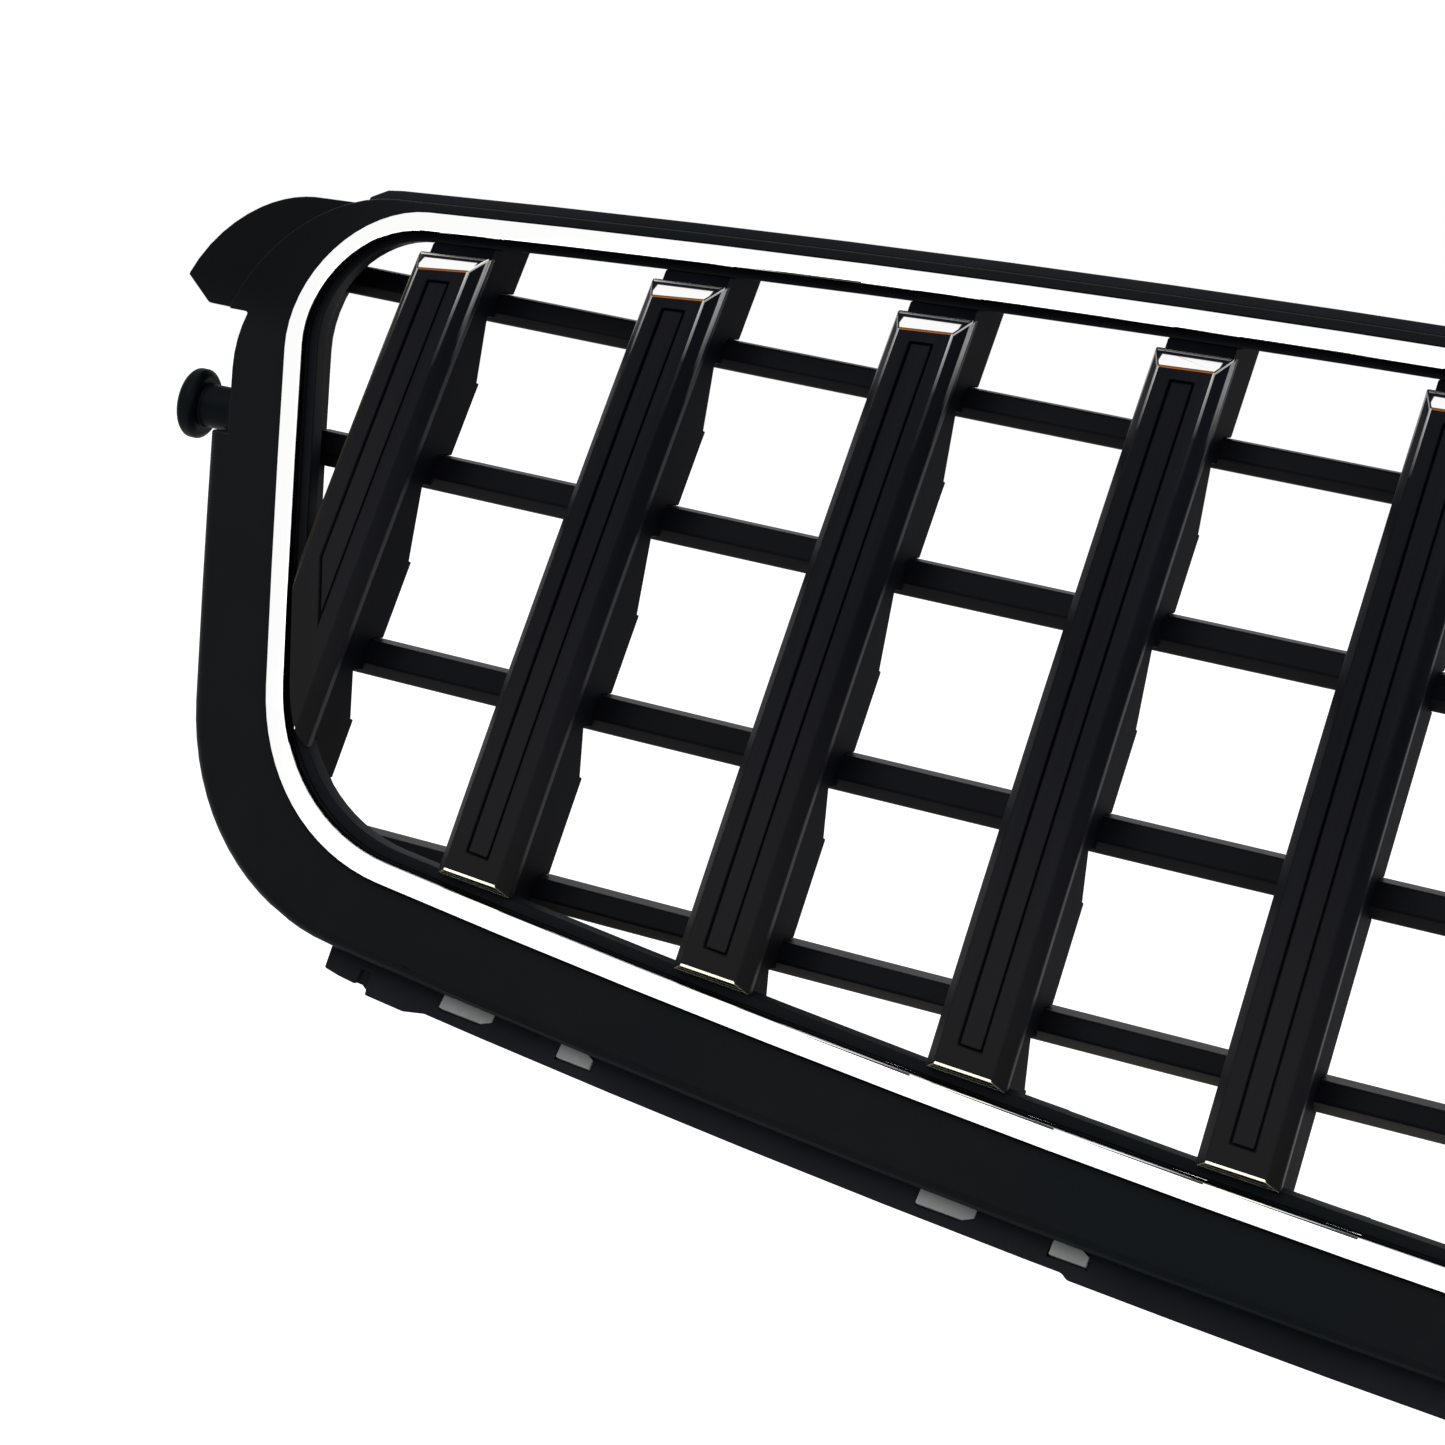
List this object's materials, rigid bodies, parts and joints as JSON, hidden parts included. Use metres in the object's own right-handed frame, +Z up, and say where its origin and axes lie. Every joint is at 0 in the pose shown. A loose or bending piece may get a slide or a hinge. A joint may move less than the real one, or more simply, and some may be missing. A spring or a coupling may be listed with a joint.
{
  "type": "front grille",
  "caption": "Car front grille with upright bevelled bars over cross rungs, a bright trim ring, an eared black surround and hidden fixing rails.",
  "frame": {"origin": "middle of the inner pair of upper fixing holes", "axes": "X across the car, -Y out of the grille's face, +Z up"},
  "size_m": [0.7448, 0.1384, 0.1834],
  "materials": {
    "surround_black": "satin black moulding",
    "bright_trim": "polished bright trim",
    "inner_black": "fine grained black moulding",
    "rung_black": "satin black",
    "bar_black": "gloss black with bright bevels at the ends",
    "strip_black": "satin black",
    "clip_steel": "grey coated spring steel",
    "screw_steel": "zinc plated"
  },
  "bodies": {
    "root": {"outer_surround": "surround_black", "trim_ring": "bright_trim", "inner_frame": "inner_black", "frame_screws": "screw_steel", "upper_rail": "inner_black", "lower_rail": "inner_black", "lower_clips_left": "clip_steel", "lower_clips_right": "clip_steel", "side_peg_left": "surround_black", "side_peg_right": "surround_black", "rung_1": "rung_black", "rung_2": "rung_black", "rung_3": "rung_black", "rung_4": "rung_black", "bar_fin_1": "inner_black", "bar_fin_2": "inner_black", "bar_fin_3": "inner_black", "bar_fin_4": "inner_black", "bar_fin_5": "inner_black", "bar_fin_6": "inner_black", "bar_fin_7": "inner_black", "bar_fin_8": "inner_black", "bar_fin_9": "inner_black", "bar_fin_10": "inner_black", "bar_fin_11": "inner_black", "bar_fin_12": "inner_black", "bar_fin_13": "inner_black", "bar_cap_1": "bar_black", "bar_cap_2": "bar_black", "bar_cap_3": "bar_black", "bar_cap_4": "bar_black", "bar_cap_5": "bar_black", "bar_cap_6": "bar_black", "bar_cap_7": "bar_black", "bar_cap_8": "bar_black", "bar_cap_9": "bar_black", "bar_cap_10": "bar_black", "bar_cap_11": "bar_black", "bar_cap_12": "bar_black", "bar_cap_13": "bar_black", "bar_strip_1": "strip_black", "bar_strip_2": "strip_black", "bar_strip_3": "strip_black", "bar_strip_4": "strip_black", "bar_strip_5": "strip_black", "bar_strip_6": "strip_black", "bar_strip_7": "strip_black", "bar_strip_8": "strip_black", "bar_strip_9": "strip_black", "bar_strip_10": "strip_black", "bar_strip_11": "strip_black", "bar_strip_12": "strip_black", "bar_strip_13": "strip_black"}
  },
  "joints": []
}
